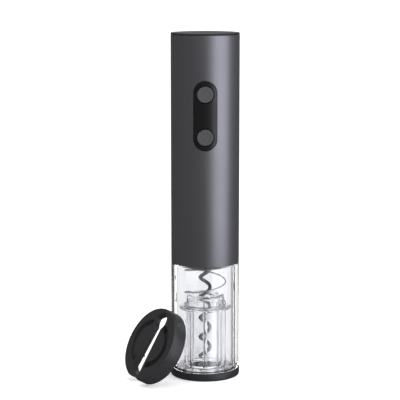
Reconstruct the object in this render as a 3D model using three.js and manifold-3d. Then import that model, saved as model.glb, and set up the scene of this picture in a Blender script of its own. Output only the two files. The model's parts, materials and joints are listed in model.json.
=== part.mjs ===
// An electric wine opener that stands on its open end, with its foil cutter leaning against it.
// Millimetres, +Z up. The opener's front, with the two buttons, faces -Y. Everything is modelled
// about the opener's own axis, and the last lines move the whole so that the origin is the centre
// of the footprint that the opener and the cutter share, on the surface they stand on.
import * as THREE from "three";
import { mergeVertices } from "three/addons/utils/BufferGeometryUtils.js";
import Module from "manifold-3d";

const wasm = await Module();
wasm.setup();

// ---------------------------------------------------------------- driving dimensions

const GAP = 0.3; // between pieces that touch or fit inside each other
// how many flat sides stand for a circle, from the largest pieces to the smallest
const FINE = 40;
const MEDIUM = 24;
const COARSE = 12;
const TINY = 8;

// the standing envelope
const TOTAL_HEIGHT = 243;
const BODY_RADIUS = 24;
const SHELL_WALL = 1.2;
const SHELL_BOTTOM = 81.5; // the metal tube ends here, and the clear chamber shows below it
const CAP_RIM = 1;
const CAP_SKIRT = 8;
const CAP_SKIRT_WALL = 1.5;
const CAP_DISC = 3;

// the clear chamber and its base ring
const RING_PROUD = 0.5; // how far it stands out past the body
const RING_HEIGHT = 5.3;
const RING_BORE = 17; // a bottle's neck and lip pass through it
const RING_EDGE = 0.8;
const CHAMBER_WALL = 3.7;
const TONGUE_WALL = 2.3; // the chamber's thinner foot, which stands in the ring's groove
const TONGUE_DEPTH = 2;
const SPIGOT_LENGTH = 11.5; // how far the chamber reaches up inside the shell

// the sprung guide that grips the cork
const GUIDE_RADIUS = 14;
const GUIDE_WALL = 1.4;
const GUIDE_HEIGHT = 52.4;
const GUIDE_FOOT_HEIGHT = 1.6;
const GUIDE_COLLAR_RADIUS = 18.4;
const GUIDE_COLLAR_HEIGHT = 1.4;
const CROWN_RADIUS = 13.6;
const CROWN_HEIGHT = 8.4; // from the collar's top to the guide's top
const CROWN_ROUND = 3;
const CROWN_MOUTH = 9;
const CROWN_ROOF = 1.6;
const CROWN_TEETH = 8;
const TOOTH_DROP = 2.4;
const TOOTH_THICKNESS = 1.3;
const TOOTH_LENGTH = 2.6;
const GUIDE_RODS = 8;
const ROD_RADIUS = 1.6;

// the guide's spring
const SPRING_CLEARANCE = 0.55; // round the guide's crown
const SPRING_WIRE = 0.9;
const SPRING_TURNS = 1.7; // open turns
const SPRING_END_TURNS = 0.7; // closed turns at each end

// the worm
const WORM_RADIUS = 3.5; // to the middle of the wire
const WORM_WIRE = 2.5;
const WORM_PITCH = 14.2;
const WORM_TIP = 9.4;
const WORM_LEFT_HEIGHT = 69.7; // a height where the wire is at the far left
const WORM_TAPER = 5; // height over which the tip is ground down

// chuck, mounting plate and gearbox, from the bottom upwards
const CHUCK_RADIUS = 6;
const CHUCK_WALL = 0.95;
const CHUCK_DROP = 3.5; // how far it hangs below the mounting plate
const CHUCK_CUP = 3.4;
const PLATE_DROP = 2; // how far the plate's rim shows below the shell
const PLATE_THICKNESS = 3;
const CUP_CLEARANCE = 0.5; // round the gearbox
const PLATE_FLANGE = 2;
const COVER_THICKNESS = 3;
const SHAFT_RADIUS = 3;
const BUSH_WALL = 2;
const BUSH_CLEARANCE = 0.05;

const MODULE = 0.7; // gear tooth size
const SUN_TEETH = 9;
const PLANET_TEETH = 18;
const RING_TEETH = SUN_TEETH + 2 * PLANET_TEETH;
const PLANETS = 3;
const PRESSURE_ANGLE = THREE.MathUtils.degToRad(20);
const ADDENDUM = 0.8;
const DEDENDUM = 1.1;
const BACKLASH = 0.3;
const GEAR_WIDTH = 6;
const GEAR_GAP = 0.5;
const CARRIER_EDGE = 1.55; // how far it reaches past its pins
const CARRIER_THICKNESS = 2.5;
const PIN_RADIUS = 1.5;
const GEARBOX_WALL = 1.48; // behind the ring gear's teeth
const GEARBOX_PLATE = 2.5;
const MOUNT_SCREW_RADIUS = 13; // of the circle that they stand on

// motor
const MOTOR_RADIUS = 13.85;
const MOTOR_LENGTH = 37.8;
const MOTOR_BOSS_RADIUS = 5;
const MOTOR_BOSS_HEIGHT = 1.5;
const MOTOR_SHAFT_RADIUS = 1.15;
const MOTOR_SHAFT_BORE = 1.7;
const END_CAP_LENGTH = 4;
const TERMINAL_LENGTH = 4;
const TERMINAL_SPACING = 16;
const MOTOR_SCREW_SPACING = 16;

// slotted screws: radius of shank and head, height of head, width of slot
const SCREW = { shank: 1.25, head: 2.3, headHeight: 1.4, slot: 0.6 };

// chassis that carries motor, board and batteries
const CHASSIS_WALL = 1.5;
const CHASSIS_TOP_GAP = 2; // below the cap's skirt
const BULKHEAD = 2;
const CHASSIS_SCREW_RISE = 10; // above the motor's can
const CHASSIS_SCREW_LENGTH = 12;
const BOSS_RADIUS = 3.4;
const BOSS_LENGTH = 7;
const WIRE_RUN = 3; // half width of the channel that the leads pass through

// batteries, size AA
const CELL_RADIUS = 7.15;
const CELL_LENGTH = 49.5;
const CELL_NUB_RADIUS = 2.7;
const CELL_NUB_HEIGHT = 1;
const CELL_CLEARANCE = 0.4;
const TRAY_THICKNESS = 2;
const TRAY_SPACE = 4; // between the tray's floor and the cells, for the contacts
const DIVIDER = 0.9;
const CONTACT_PLATE = 0.5;
const CONTACT_WIDTH = 7;
const CONTACT_WIRE = 0.7;

// button panel
const PANEL_DROP = 56; // from the top of the object to its middle
const PANEL_LENGTH = 48.2;
const PANEL_WIDTH = 16.6;
const PANEL_THICKNESS = 1.5;
const PANEL_FLANGE = 1.5; // how far its rear flange reaches past the opening
const PANEL_FLANGE_THICKNESS = 1.2;
const BUTTON_RADIUS = 5.7;
const BUTTON_GAP = 0.45;
const BUTTON_PITCH = 29.5;
const BUTTON_PROUD = 0.1;
const BUTTON_DEPTH = 2.4;
const BUTTON_TRAVEL = 0.8;
const STEM_RADIUS = 1.6;
const SWITCH_SIDE = 6;
const SWITCH_DEPTH = 2.4;
const BOARD_THICKNESS = 1.2;
const BOARD_WIDTH = 17;
const BOARD_LENGTH = 56;
const LEAD_RADIUS = 0.7;

// foil cutter: a round one-piece clip whose two halves bend about a web at one end of its slit
const CUTTER_RADIUS = 26.8;
const CUTTER_THICKNESS = 10.7;
const CUTTER_EDGE = 0.8;
const CUTTER_FLOOR = 4.5; // plate behind the face
const CUTTER_BORE = 17; // takes the bottle's lip from behind
const CUTTER_AZIMUTH = THREE.MathUtils.degToRad(32.8); // from the opener's left towards its front
const CUTTER_TILT = THREE.MathUtils.degToRad(29.5); // how far its face leans back
const CUTTER_ROLL = THREE.MathUtils.degToRad(-4.9);
const SLIT_TOP_WIDTH = 8.2;
const SLIT_END_WIDTH = 10.4;
const SLIT_MOUTH_WIDTH = 10.8;
const RELIEF_RADIUS = 6.3;
const WEB_THICKNESS = 3;
const HALF_SPLIT = 0.3;
const END_RADIUS = 24; // the recess is wider at both ends of the slit, where the rim is thin
const LAND_LENGTH = 22.4; // of the thick part of each half's rim, which holds its wheels
const PAD_RADIUS = 12.1; // each half's raised pad, about a centre beside the slit
const GROOVE_RADIUS = 16.7;
const GROOVE_START = 7.2; // each groove's ends stay this far from the slit's middle
const PAD_OFFSET = 4.9;
const GROOVE_DEPTH = 3;
const WHEEL_RADIUS = 4.2;
const WHEEL_THICKNESS = 0.3; // at its edge
const WHEEL_HUB_THICKNESS = 0.9;
const WHEEL_REACH = 1.9; // how far each wheel stands into the bore
const WHEEL_ANGLE = THREE.MathUtils.degToRad(18);
const WHEEL_DEPTH = 7.4; // below the face
const AXLE_RADIUS = 0.8;
const AXLE_LENGTH = 4;

// ---------------------------------------------------------------- places that follow from them

const ringRadius = BODY_RADIUS + RING_PROUD;
const shellInside = BODY_RADIUS - SHELL_WALL;
const insertRadius = shellInside - GAP; // what slides into the shell
const shellTop = TOTAL_HEIGHT - CAP_RIM - GAP;
const springRadius = CROWN_RADIUS + SPRING_CLEARANCE + SPRING_WIRE / 2; // to the wire's middle
const chamberInside = BODY_RADIUS - CHAMBER_WALL;
const guideBottom = RING_HEIGHT + GAP;
const guideTop = guideBottom + GUIDE_HEIGHT;
const collarTop = guideTop - CROWN_HEIGHT;
const plateBottom = SHELL_BOTTOM - PLATE_DROP;
const plateTop = plateBottom + PLATE_THICKNESS;
const spigotTop = SHELL_BOTTOM + SPIGOT_LENGTH;
const coverBottom = plateTop + GAP;
const coverTop = coverBottom + COVER_THICKNESS;
const stageHeight = CARRIER_THICKNESS + 2 * GEAR_GAP + GEAR_WIDTH + 1;
const outputCarrierBottom = coverTop + 2 * GAP;
const inputCarrierBottom = outputCarrierBottom + stageHeight;
const gearSpaceTop = inputCarrierBottom + stageHeight;
const motorBottom = gearSpaceTop + GEARBOX_PLATE + GAP;
const motorTop = motorBottom + MOTOR_LENGTH;
const planetOrbit = (MODULE * (SUN_TEETH + PLANET_TEETH)) / 2;
const carrierRadius = planetOrbit + PIN_RADIUS + CARRIER_EDGE;
const ringGearRoot = MODULE * (RING_TEETH / 2 + DEDENDUM);
const gearboxRadius = ringGearRoot + GEARBOX_WALL;
const chassisScrewHeight = motorTop + CHASSIS_SCREW_RISE;
const chassisBottom = spigotTop + GAP + PLATE_FLANGE + GAP;
const chassisTop = shellTop - CAP_SKIRT - CHASSIS_TOP_GAP;
const chassisInside = insertRadius - CHASSIS_WALL;
const capInside = TOTAL_HEIGHT - CAP_DISC;
const panelCentre = TOTAL_HEIGHT - PANEL_DROP;
const cellOffset = CELL_RADIUS + CELL_CLEARANCE + DIVIDER / 2; // from the middle, in X and in Y
const cellTop = capInside - 2 * GAP - CONTACT_PLATE - CELL_NUB_HEIGHT;
const cellBottom = cellTop - CELL_LENGTH;
const trayFloor = cellBottom - TRAY_SPACE;
const buttonFace = BODY_RADIUS + BUTTON_PROUD;
const panelInside = BODY_RADIUS - PANEL_THICKNESS;
const buttonBack = buttonFace - BUTTON_DEPTH;
const switchFace = buttonBack - BUTTON_TRAVEL - GAP;
const boardFace = switchFace - SWITCH_DEPTH - GAP;

// ---------------------------------------------------------------- shape helpers

// A closed three.js geometry as a manifold-3d solid.
function solidOf(geometry) {
  const source = geometry.index ? geometry.toNonIndexed() : geometry;
  const bare = new THREE.BufferGeometry();
  bare.setAttribute("position", source.getAttribute("position"));
  const merged = mergeVertices(bare, 1e-4);
  const index = merged.index.array;
  const triangles = [];
  for (let i = 0; i < index.length; i += 3) {
    const [a, b, c] = index.slice(i, i + 3);
    if (a !== b && b !== c && c !== a) triangles.push(a, b, c);
  }
  const mesh = new wasm.Mesh({
    numProp: 3,
    vertProperties: merged.attributes.position.array,
    triVerts: new Uint32Array(triangles),
  });
  return new wasm.Manifold(mesh);
}

// A manifold-3d solid as a flat-shaded three.js geometry.
function geometryOf(solid) {
  const mesh = solid.getMesh();
  const geometry = new THREE.BufferGeometry();
  geometry.setAttribute("position", new THREE.BufferAttribute(mesh.vertProperties, 3));
  geometry.setIndex(new THREE.BufferAttribute(mesh.triVerts, 1));
  const flat = geometry.toNonIndexed();
  flat.computeVertexNormals();
  return flat;
}

// A profile of [radius, height] points, listed anticlockwise with the radius to the right,
// turned about the Z axis.
function revolve(profile, sides = FINE) {
  const onAxis = profile[0][0] === 0 && profile.at(-1)[0] === 0;
  const points = profile.map(([r, z]) => new THREE.Vector2(r, z));
  if (!onAxis) points.push(points[0].clone());
  return solidOf(new THREE.LatheGeometry(points, sides).rotateX(Math.PI / 2));
}

function cylinder(radius, bottom, top, sides = FINE) {
  const geometry = new THREE.CylinderGeometry(radius, radius, top - bottom, sides);
  return solidOf(geometry.rotateX(Math.PI / 2).translate(0, 0, (top + bottom) / 2));
}

function tube(outside, inside, bottom, top, sides = FINE) {
  return revolve([[inside, bottom], [outside, bottom], [outside, top], [inside, top]], sides);
}

function block(width, depth, height, x = 0, y = 0, z = 0) {
  return solidOf(new THREE.BoxGeometry(width, depth, height).translate(x, y, z));
}

// A flat outline pushed upwards.
function prism(shape, bottom, top, curveSegments = COARSE) {
  const options = { depth: top - bottom, bevelEnabled: false, curveSegments };
  return solidOf(new THREE.ExtrudeGeometry(shape, options).translate(0, 0, bottom));
}

// An outline drawn as seen from the front, X across and Y up, pushed through from y = -near to -far.
function frontPrism(shape, near, far, curveSegments = COARSE) {
  return prism(shape, near, far, curveSegments).rotate([90, 0, 0]);
}

// A slot outline with round ends, centred on a height.
function stadium(width, length, centre) {
  const r = width / 2;
  const reach = length / 2 - r;
  const shape = new THREE.Shape();
  shape.absarc(0, centre + reach, r, 0, Math.PI, false);
  shape.absarc(0, centre - reach, r, Math.PI, 2 * Math.PI, false);
  shape.closePath();
  return shape;
}

class Helix extends THREE.Curve {
  // radius and height follow t from 0 to 1, and so does the angle in radians
  constructor(radiusAt, angleAt, heightAt) {
    super();
    Object.assign(this, { radiusAt, angleAt, heightAt });
  }

  getPoint(t, target = new THREE.Vector3()) {
    const r = this.radiusAt(t);
    const angle = this.angleAt(t);
    return target.set(r * Math.cos(angle), r * Math.sin(angle), this.heightAt(t));
  }
}

// Round wire along a curve. thickness, from 0 to 1 along it, is a share of the wire's radius.
function wireAlong(curve, radius, steps, sides, thickness = () => 1) {
  const section = new THREE.Shape();
  for (let i = 0; i < sides; i++) {
    const angle = (2 * Math.PI * i) / sides;
    const move = i === 0 ? "moveTo" : "lineTo";
    section[move](radius * Math.cos(angle), radius * Math.sin(angle));
  }
  section.closePath();
  const geometry = new THREE.ExtrudeGeometry(section, { steps, extrudePath: curve, curveSegments: 1 });
  const centres = curve.getSpacedPoints(steps);
  const position = geometry.getAttribute("position");
  const point = new THREE.Vector3();
  for (let i = 0; i < position.count; i++) {
    point.fromBufferAttribute(position, i);
    const squares = centres.map((c) => c.distanceToSquared(point));
    const nearest = squares.indexOf(Math.min(...squares));
    const share = thickness(nearest / steps);
    point.sub(centres[nearest]).multiplyScalar(share).add(centres[nearest]);
    position.setXYZ(i, point.x, point.y, point.z);
  }
  return solidOf(geometry);
}

function around(count, make) {
  return Array.from({ length: count }, (_, i) => make((2 * Math.PI * i) / count, i));
}

function union(solids) {
  return solids.reduce((whole, next) => whole.add(next));
}

// ---------------------------------------------------------------- materials and nodes

function material(color, roughness, metalness, opacity = 1) {
  const transparent = opacity < 1;
  return new THREE.MeshStandardMaterial({ color, roughness, metalness, opacity, transparent });
}

const gunmetal = material(0x4a4a4d, 0.38, 0.85);
const blackPlastic = material(0x1b1b1c, 0.45, 0);
const panelBlack = material(0x121213, 0.25, 0);
const buttonGrey = material(0x38383a, 0.5, 0);
const clearPlastic = material(0xf2f4f6, 0.05, 0, 0.3);
const springSteel = material(0x8a8a8e, 0.3, 1);
const wormSteel = material(0x5c5c60, 0.28, 1);
const zincSteel = material(0xa9abae, 0.35, 1);
const gearMetal = material(0x9d958a, 0.45, 1);
const bronze = material(0xa8763c, 0.4, 1);
const frameGrey = material(0x77797c, 0.6, 0);
const boardGreen = material(0x1f5a34, 0.5, 0);
const cellWrap = material(0x2f6f4f, 0.4, 0);
const nickel = material(0xc2c2bd, 0.3, 1);
const cutterBlack = material(0x262627, 0.5, 0);
const redWire = material(0xa02020, 0.5, 0);
const blackWire = material(0x151515, 0.5, 0);

const model = new THREE.Group();

// Adds a solid to a group as a named mesh.
function node(name, solid, finish, group = model) {
  const mesh = new THREE.Mesh(geometryOf(solid), finish);
  mesh.name = name;
  group.add(mesh);
  return mesh;
}

// ---------------------------------------------------------------- chamber, guide and worm

function baseRing() {
  const grooveOut = chamberInside + TONGUE_WALL + GAP;
  const grooveIn = chamberInside - GAP;
  const grooveFloor = RING_HEIGHT - TONGUE_DEPTH - GAP;
  return revolve([
    [RING_BORE, 0],
    [ringRadius - RING_EDGE, 0],
    [ringRadius, RING_EDGE],
    [ringRadius, RING_HEIGHT],
    [grooveOut, RING_HEIGHT],
    [grooveOut, grooveFloor],
    [grooveIn, grooveFloor],
    [grooveIn, RING_HEIGHT],
    [RING_BORE, RING_HEIGHT],
  ]);
}

function chamberTube() {
  const foot = RING_HEIGHT + GAP;
  const shoulder = SHELL_BOTTOM - GAP;
  return revolve([
    [chamberInside, RING_HEIGHT - TONGUE_DEPTH],
    [chamberInside + TONGUE_WALL, RING_HEIGHT - TONGUE_DEPTH],
    [chamberInside + TONGUE_WALL, foot],
    [BODY_RADIUS, foot],
    [BODY_RADIUS, shoulder],
    [insertRadius, shoulder],
    [insertRadius, spigotTop],
    [chamberInside, spigotTop],
  ]);
}

// The guide slides in the chamber: a foot that meets the bottle's lip, a rodded tube that holds the
// cork still, a collar for the spring, and a toothed crown.
function corkGuide() {
  const tubeTop = collarTop - GUIDE_COLLAR_HEIGHT / 2;
  const inside = GUIDE_RADIUS - GUIDE_WALL;
  const rodCentre = GUIDE_RADIUS - GUIDE_WALL / 2;
  const wall = tube(GUIDE_RADIUS, inside, guideBottom, tubeTop, MEDIUM);
  const rods = around(GUIDE_RODS, (angle) =>
    cylinder(ROD_RADIUS, guideBottom, tubeTop, TINY)
      .translate([0, -rodCentre, 0])
      .rotate([0, 0, THREE.MathUtils.radToDeg(angle)]),
  );
  const foot = tube(chamberInside - 2 * GAP, inside, guideBottom, guideBottom + GUIDE_FOOT_HEIGHT);
  const crownInside = CROWN_RADIUS - GUIDE_WALL;
  const crown = revolve(
    [
      [inside, collarTop - GUIDE_COLLAR_HEIGHT],
      [GUIDE_COLLAR_RADIUS, collarTop - GUIDE_COLLAR_HEIGHT],
      [GUIDE_COLLAR_RADIUS, collarTop],
      [CROWN_RADIUS, collarTop],
      [CROWN_RADIUS, guideTop - CROWN_ROUND],
      [CROWN_RADIUS - CROWN_ROUND * (1 - Math.SQRT1_2), guideTop - CROWN_ROUND * (1 - Math.SQRT1_2)],
      [CROWN_RADIUS - CROWN_ROUND, guideTop],
      [CROWN_MOUTH, guideTop],
      [CROWN_MOUTH, guideTop - CROWN_ROOF],
      [crownInside, guideTop - CROWN_ROOF],
      [crownInside, collarTop - GUIDE_COLLAR_HEIGHT / 2],
      [inside, collarTop - GUIDE_COLLAR_HEIGHT / 2],
    ],
    MEDIUM,
  );
  const toothTop = guideTop - CROWN_ROOF / 2;
  const toothHeight = TOOTH_DROP + CROWN_ROOF / 2;
  const teeth = around(CROWN_TEETH, (angle) =>
    block(TOOTH_THICKNESS, TOOTH_LENGTH, toothHeight, 0, crownInside - TOOTH_LENGTH / 2 + GAP)
      .translate([0, 0, toothTop - toothHeight / 2])
      .rotate([0, 0, THREE.MathUtils.radToDeg(angle) + 180 / CROWN_TEETH]),
  );
  return union([wall, foot, crown, ...rods, ...teeth]);
}

// A compression spring between the guide's collar and the mounting plate, with closed ends.
function guideSpring() {
  const bottom = collarTop + GAP + SPRING_WIRE / 2;
  const top = plateBottom - GAP - SPRING_WIRE / 2;
  const turns = SPRING_TURNS + 2 * SPRING_END_TURNS;
  const endRise = SPRING_WIRE * 1.1 * SPRING_END_TURNS;
  const heightAt = (t) => {
    const done = t * turns;
    if (done < SPRING_END_TURNS) return bottom + (endRise * done) / SPRING_END_TURNS;
    if (done > turns - SPRING_END_TURNS) return top - (endRise * (turns - done)) / SPRING_END_TURNS;
    const share = (done - SPRING_END_TURNS) / SPRING_TURNS;
    return bottom + endRise + share * (top - bottom - 2 * endRise);
  };
  const turnAt = (t) => 2 * Math.PI * (turns * t - SPRING_END_TURNS);
  const path = new Helix(() => springRadius, turnAt, heightAt);
  return wireAlong(path, SPRING_WIRE / 2, Math.round(turns * MEDIUM * 0.8), 5);
}

function worm() {
  const top = plateBottom - CHUCK_DROP + CHUCK_CUP - WORM_WIRE / 2 - GAP;
  const heightAt = (t) => WORM_TIP + t * (top - WORM_TIP);
  const angleAt = (t) => Math.PI + (2 * Math.PI * (heightAt(t) - WORM_LEFT_HEIGHT)) / WORM_PITCH;
  const taperShare = WORM_TAPER / (top - WORM_TIP);
  const thickness = (t) => Math.min(1, 0.15 + (0.85 * t) / taperShare);
  const path = new Helix(() => WORM_RADIUS, angleAt, heightAt);
  const steps = Math.round(((top - WORM_TIP) / WORM_PITCH) * COARSE);
  return wireAlong(path, WORM_WIRE / 2, steps, 6, thickness);
}

// Holds the worm's top turn in a cup, and the output shaft in a bore above it.
function wormChuck() {
  const bottom = plateBottom - CHUCK_DROP;
  const cupTop = bottom + CHUCK_CUP;
  const top = coverBottom - 2 * GAP;
  return revolve(
    [
      [CHUCK_RADIUS - CHUCK_WALL, bottom],
      [CHUCK_RADIUS, bottom],
      [CHUCK_RADIUS, top],
      [SHAFT_RADIUS + GAP, top],
      [SHAFT_RADIUS + GAP, cupTop],
      [CHUCK_RADIUS - CHUCK_WALL, cupTop],
    ],
    24,
  );
}

node("base_ring", baseRing(), blackPlastic);
node("chamber_tube", chamberTube(), clearPlastic);
node("cork_guide", corkGuide(), clearPlastic);
node("guide_spring", guideSpring(), springSteel);
node("worm", worm(), wormSteel);
node("worm_chuck", wormChuck(), zincSteel);

// ---------------------------------------------------------------- gearbox and motor

const involute = (angle) => Math.tan(angle) - angle;

// The outline of a spur gear with a tooth centred on the X axis. A negative backlash gives the
// outline of the hole in a ring gear, with a gap centred there.
function gearOutline(teeth, backlash, tipShare, rootShare) {
  const pitch = (MODULE * teeth) / 2;
  const base = pitch * Math.cos(PRESSURE_ANGLE);
  const root = pitch - MODULE * rootShare;
  const tip = pitch + MODULE * tipShare;
  const halfAtPitch = Math.PI / (2 * teeth) - backlash / (2 * pitch);
  const halfAt = (r) => {
    const rolled = r > base ? involute(Math.acos(base / r)) : 0;
    return halfAtPitch + involute(PRESSURE_ANGLE) - rolled;
  };
  const flank = [root, tip].map((r) => [r, halfAt(r)]);
  const points = around(teeth, (centre) => [
    ...flank.map(([r, half]) => [r, centre - half]),
    ...flank.toReversed().map(([r, half]) => [r, centre + half]),
  ]).flat();
  return points.map(([r, angle]) => new THREE.Vector2(r * Math.cos(angle), r * Math.sin(angle)));
}

function spurGear(teeth, width) {
  return prism(new THREE.Shape(gearOutline(teeth, BACKLASH, ADDENDUM, DEDENDUM)), 0, width);
}

function mountScrewPlaces(make) {
  return around(3, (angle) => {
    const place = angle + Math.PI / 2;
    return make(MOUNT_SCREW_RADIUS * Math.cos(place), MOUNT_SCREW_RADIUS * Math.sin(place));
  });
}

// A cup that hangs inside the chamber's top, with a flange over the end of the chamber's spigot.
function mountingPlate() {
  const cup = chamberInside - GAP;
  const cupInside = gearboxRadius + CUP_CLEARANCE;
  const flangeBottom = spigotTop + GAP;
  const shape = revolve([
    [CHUCK_RADIUS + 2 * GAP, plateBottom],
    [cup, plateBottom],
    [cup, flangeBottom],
    [insertRadius, flangeBottom],
    [insertRadius, flangeBottom + PLATE_FLANGE],
    [cupInside, flangeBottom + PLATE_FLANGE],
    [cupInside, plateTop],
    [CHUCK_RADIUS + 2 * GAP, plateTop],
  ]);
  const sinkTop = plateBottom + SCREW.headHeight + GAP;
  const holes = mountScrewPlaces((x, y) =>
    cylinder(SCREW.shank + GAP, plateBottom - 1, plateTop + 1, TINY)
      .add(cylinder(SCREW.head + GAP, plateBottom - 1, sinkTop, COARSE))
      .translate([x, y, 0]),
  );
  return shape.subtract(union(holes));
}

function gearboxCover() {
  const bushSeat = SHAFT_RADIUS + BUSH_CLEARANCE + BUSH_WALL + GAP;
  const disc = tube(gearboxRadius, bushSeat, coverBottom, coverTop);
  const holes = mountScrewPlaces((x, y) =>
    cylinder(SCREW.shank + GAP, coverBottom - 1, coverTop + 1, TINY).translate([x, y, 0]),
  );
  return disc.subtract(union(holes));
}

function outputBush() {
  const bore = SHAFT_RADIUS + BUSH_CLEARANCE;
  return tube(bore + BUSH_WALL, bore, coverBottom, coverTop, 24);
}

// A housing with the fixed ring gear cut into it and a plate at the top for the motor.
function gearboxHousing() {
  const bottom = coverTop + GAP;
  const outside = cylinder(gearboxRadius, bottom, gearSpaceTop + GEARBOX_PLATE);
  const gaps = new THREE.Shape(gearOutline(RING_TEETH, -BACKLASH, DEDENDUM, ADDENDUM - 0.1));
  const turned = prism(gaps, bottom - 1, gearSpaceTop).rotate([0, 0, 180 / RING_TEETH]);
  const boss = cylinder(MOTOR_BOSS_RADIUS + GAP, bottom, motorBottom, 24);
  const holes = motorScrewPlaces((x) =>
    cylinder(SCREW.shank + GAP, gearSpaceTop - 1, motorBottom, TINY)
      .add(cylinder(SCREW.head + GAP, gearSpaceTop - 1, gearSpaceTop + SCREW.headHeight + GAP, COARSE))
      .translate([x, 0, 0]),
  );
  return outside.subtract(union([turned, boss, ...holes]));
}

function motorScrewPlaces(make) {
  return [-1, 1].map((side) => make((side * MOTOR_SCREW_SPACING) / 2));
}

// A carrier disc with its planets' pins on top. Below it is the output shaft or the next sun gear.
function carrier(bottom, hub) {
  const top = bottom + CARRIER_THICKNESS;
  const pinTop = top + 2 * GEAR_GAP + GEAR_WIDTH;
  const pins = around(PLANETS, (angle) =>
    cylinder(PIN_RADIUS, top - 1, pinTop, TINY).translate([
      planetOrbit * Math.cos(angle),
      planetOrbit * Math.sin(angle),
      0,
    ]),
  );
  return union([cylinder(carrierRadius, bottom, top, MEDIUM), hub, ...pins]);
}

function outputCarrier() {
  const shaftBottom = plateBottom - CHUCK_DROP + CHUCK_CUP + GAP;
  return carrier(outputCarrierBottom, cylinder(SHAFT_RADIUS, shaftBottom, outputCarrierBottom + 1, 24));
}

function inputCarrier() {
  const sunBottom = outputCarrierBottom + CARRIER_THICKNESS + GEAR_GAP;
  const sun = spurGear(SUN_TEETH, inputCarrierBottom + 1 - sunBottom).translate([0, 0, sunBottom]);
  return carrier(inputCarrierBottom, sun);
}

function motorPinion() {
  const bottom = inputCarrierBottom + CARRIER_THICKNESS + GEAR_GAP;
  const gear = spurGear(SUN_TEETH, GEAR_WIDTH).translate([0, 0, bottom]);
  const shaft = cylinder(MOTOR_SHAFT_RADIUS, bottom + 1, motorBottom + 6, TINY);
  return gear.add(shaft);
}

// Planets turn half a tooth from the X axis, which puts them in mesh with sun and ring.
function addPlanets(stage, carrierBottom) {
  const bottom = carrierBottom + CARRIER_THICKNESS + GEAR_GAP;
  const shape = new THREE.Shape(gearOutline(PLANET_TEETH, BACKLASH, ADDENDUM, DEDENDUM));
  const bore = cylinder(PIN_RADIUS + GAP, -1, GEAR_WIDTH + 1, TINY);
  const gear = prism(shape, 0, GEAR_WIDTH).subtract(bore);
  around(PLANETS, (angle, i) => {
    const mesh = node(`planet_${stage}${"abc"[i]}`, gear, gearMetal);
    mesh.position.set(planetOrbit * Math.cos(angle), planetOrbit * Math.sin(angle), bottom);
    mesh.rotation.z = Math.PI / PLANET_TEETH;
  });
}

function motorCan() {
  const can = cylinder(MOTOR_RADIUS, motorBottom, motorTop, MEDIUM);
  const boss = cylinder(MOTOR_BOSS_RADIUS, motorBottom - MOTOR_BOSS_HEIGHT, motorBottom + 1, 24);
  const shaftHole = cylinder(MOTOR_SHAFT_BORE, motorBottom - 3, motorBottom + 8, TINY);
  const holes = motorScrewPlaces((x) =>
    cylinder(SCREW.shank + GAP, motorBottom - 1, motorBottom + 4, TINY).translate([x, 0, 0]),
  );
  return can.add(boss).subtract(union([shaftHole, ...holes]));
}

function motorEndCap() {
  const bottom = motorTop + GAP;
  const cap = cylinder(MOTOR_RADIUS - 0.4, bottom, bottom + END_CAP_LENGTH, MEDIUM);
  const tabs = [-1, 1].map((side) =>
    block(0.6, 3, TERMINAL_LENGTH + 1, (side * TERMINAL_SPACING) / 2, 0)
      .translate([0, 0, bottom + END_CAP_LENGTH + TERMINAL_LENGTH / 2 - 0.5]),
  );
  return union([cap, ...tabs]);
}

// A pan-head screw along +Z, its head's outer face at the origin, with a slot across it.
function screw(length) {
  const body = revolve(
    [
      [0, 0],
      [SCREW.head, 0],
      [SCREW.head, SCREW.headHeight * 0.6],
      [SCREW.shank, SCREW.headHeight],
      [SCREW.shank, length],
      [0, length],
    ],
    TINY,
  );
  return body.subtract(block(SCREW.slot, 3 * SCREW.head, SCREW.headHeight));
}

node("mounting_plate", mountingPlate(), blackPlastic);
node("gearbox_cover", gearboxCover(), zincSteel);
node("output_bush", outputBush(), bronze);
node("gearbox_housing", gearboxHousing(), frameGrey);
node("carrier_output", outputCarrier(), gearMetal);
node("carrier_input", inputCarrier(), gearMetal);
addPlanets("output_", outputCarrierBottom);
addPlanets("input_", inputCarrierBottom);
node("motor_pinion", motorPinion(), gearMetal);
node("motor_can", motorCan(), zincSteel);
node("motor_end_cap", motorEndCap(), blackPlastic);
mountScrewPlaces((x, y) => [x, y]).forEach(([x, y], i) => {
  const mesh = node(`mount_screw_${i + 1}`, screw(coverTop - plateBottom - GAP), nickel);
  mesh.position.set(x, y, plateBottom + GAP);
});
motorScrewPlaces((x) => x).forEach((x, i) => {
  const mesh = node(`motor_screw_${i + 1}`, screw(GEARBOX_PLATE + 3), nickel);
  mesh.position.set(x, 0, gearSpaceTop + GAP);
});

// ---------------------------------------------------------------- shell, cap, chassis and batteries

function panelOpening(extra) {
  return stadium(PANEL_WIDTH + 2 * extra, PANEL_LENGTH + 2 * extra, panelCentre);
}

function bodyShell() {
  const wall = tube(BODY_RADIUS, shellInside, SHELL_BOTTOM, shellTop);
  return wall.subtract(frontPrism(panelOpening(0), BODY_RADIUS / 2, BODY_RADIUS + 2));
}

function topCap() {
  const skirtIn = insertRadius - CAP_SKIRT_WALL;
  const skirtBottom = shellTop - CAP_SKIRT;
  const edge = 0.5;
  return revolve([
    [0, capInside],
    [skirtIn, capInside],
    [skirtIn, skirtBottom],
    [insertRadius, skirtBottom],
    [insertRadius, TOTAL_HEIGHT - CAP_RIM],
    [BODY_RADIUS, TOTAL_HEIGHT - CAP_RIM],
    [BODY_RADIUS, TOTAL_HEIGHT - edge],
    [BODY_RADIUS - edge, TOTAL_HEIGHT],
    [0, TOTAL_HEIGHT],
  ]);
}

const motorSeat = MOTOR_RADIUS + GAP;
const chassisScrewX = chassisInside - BOSS_RADIUS + 0.6;

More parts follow.
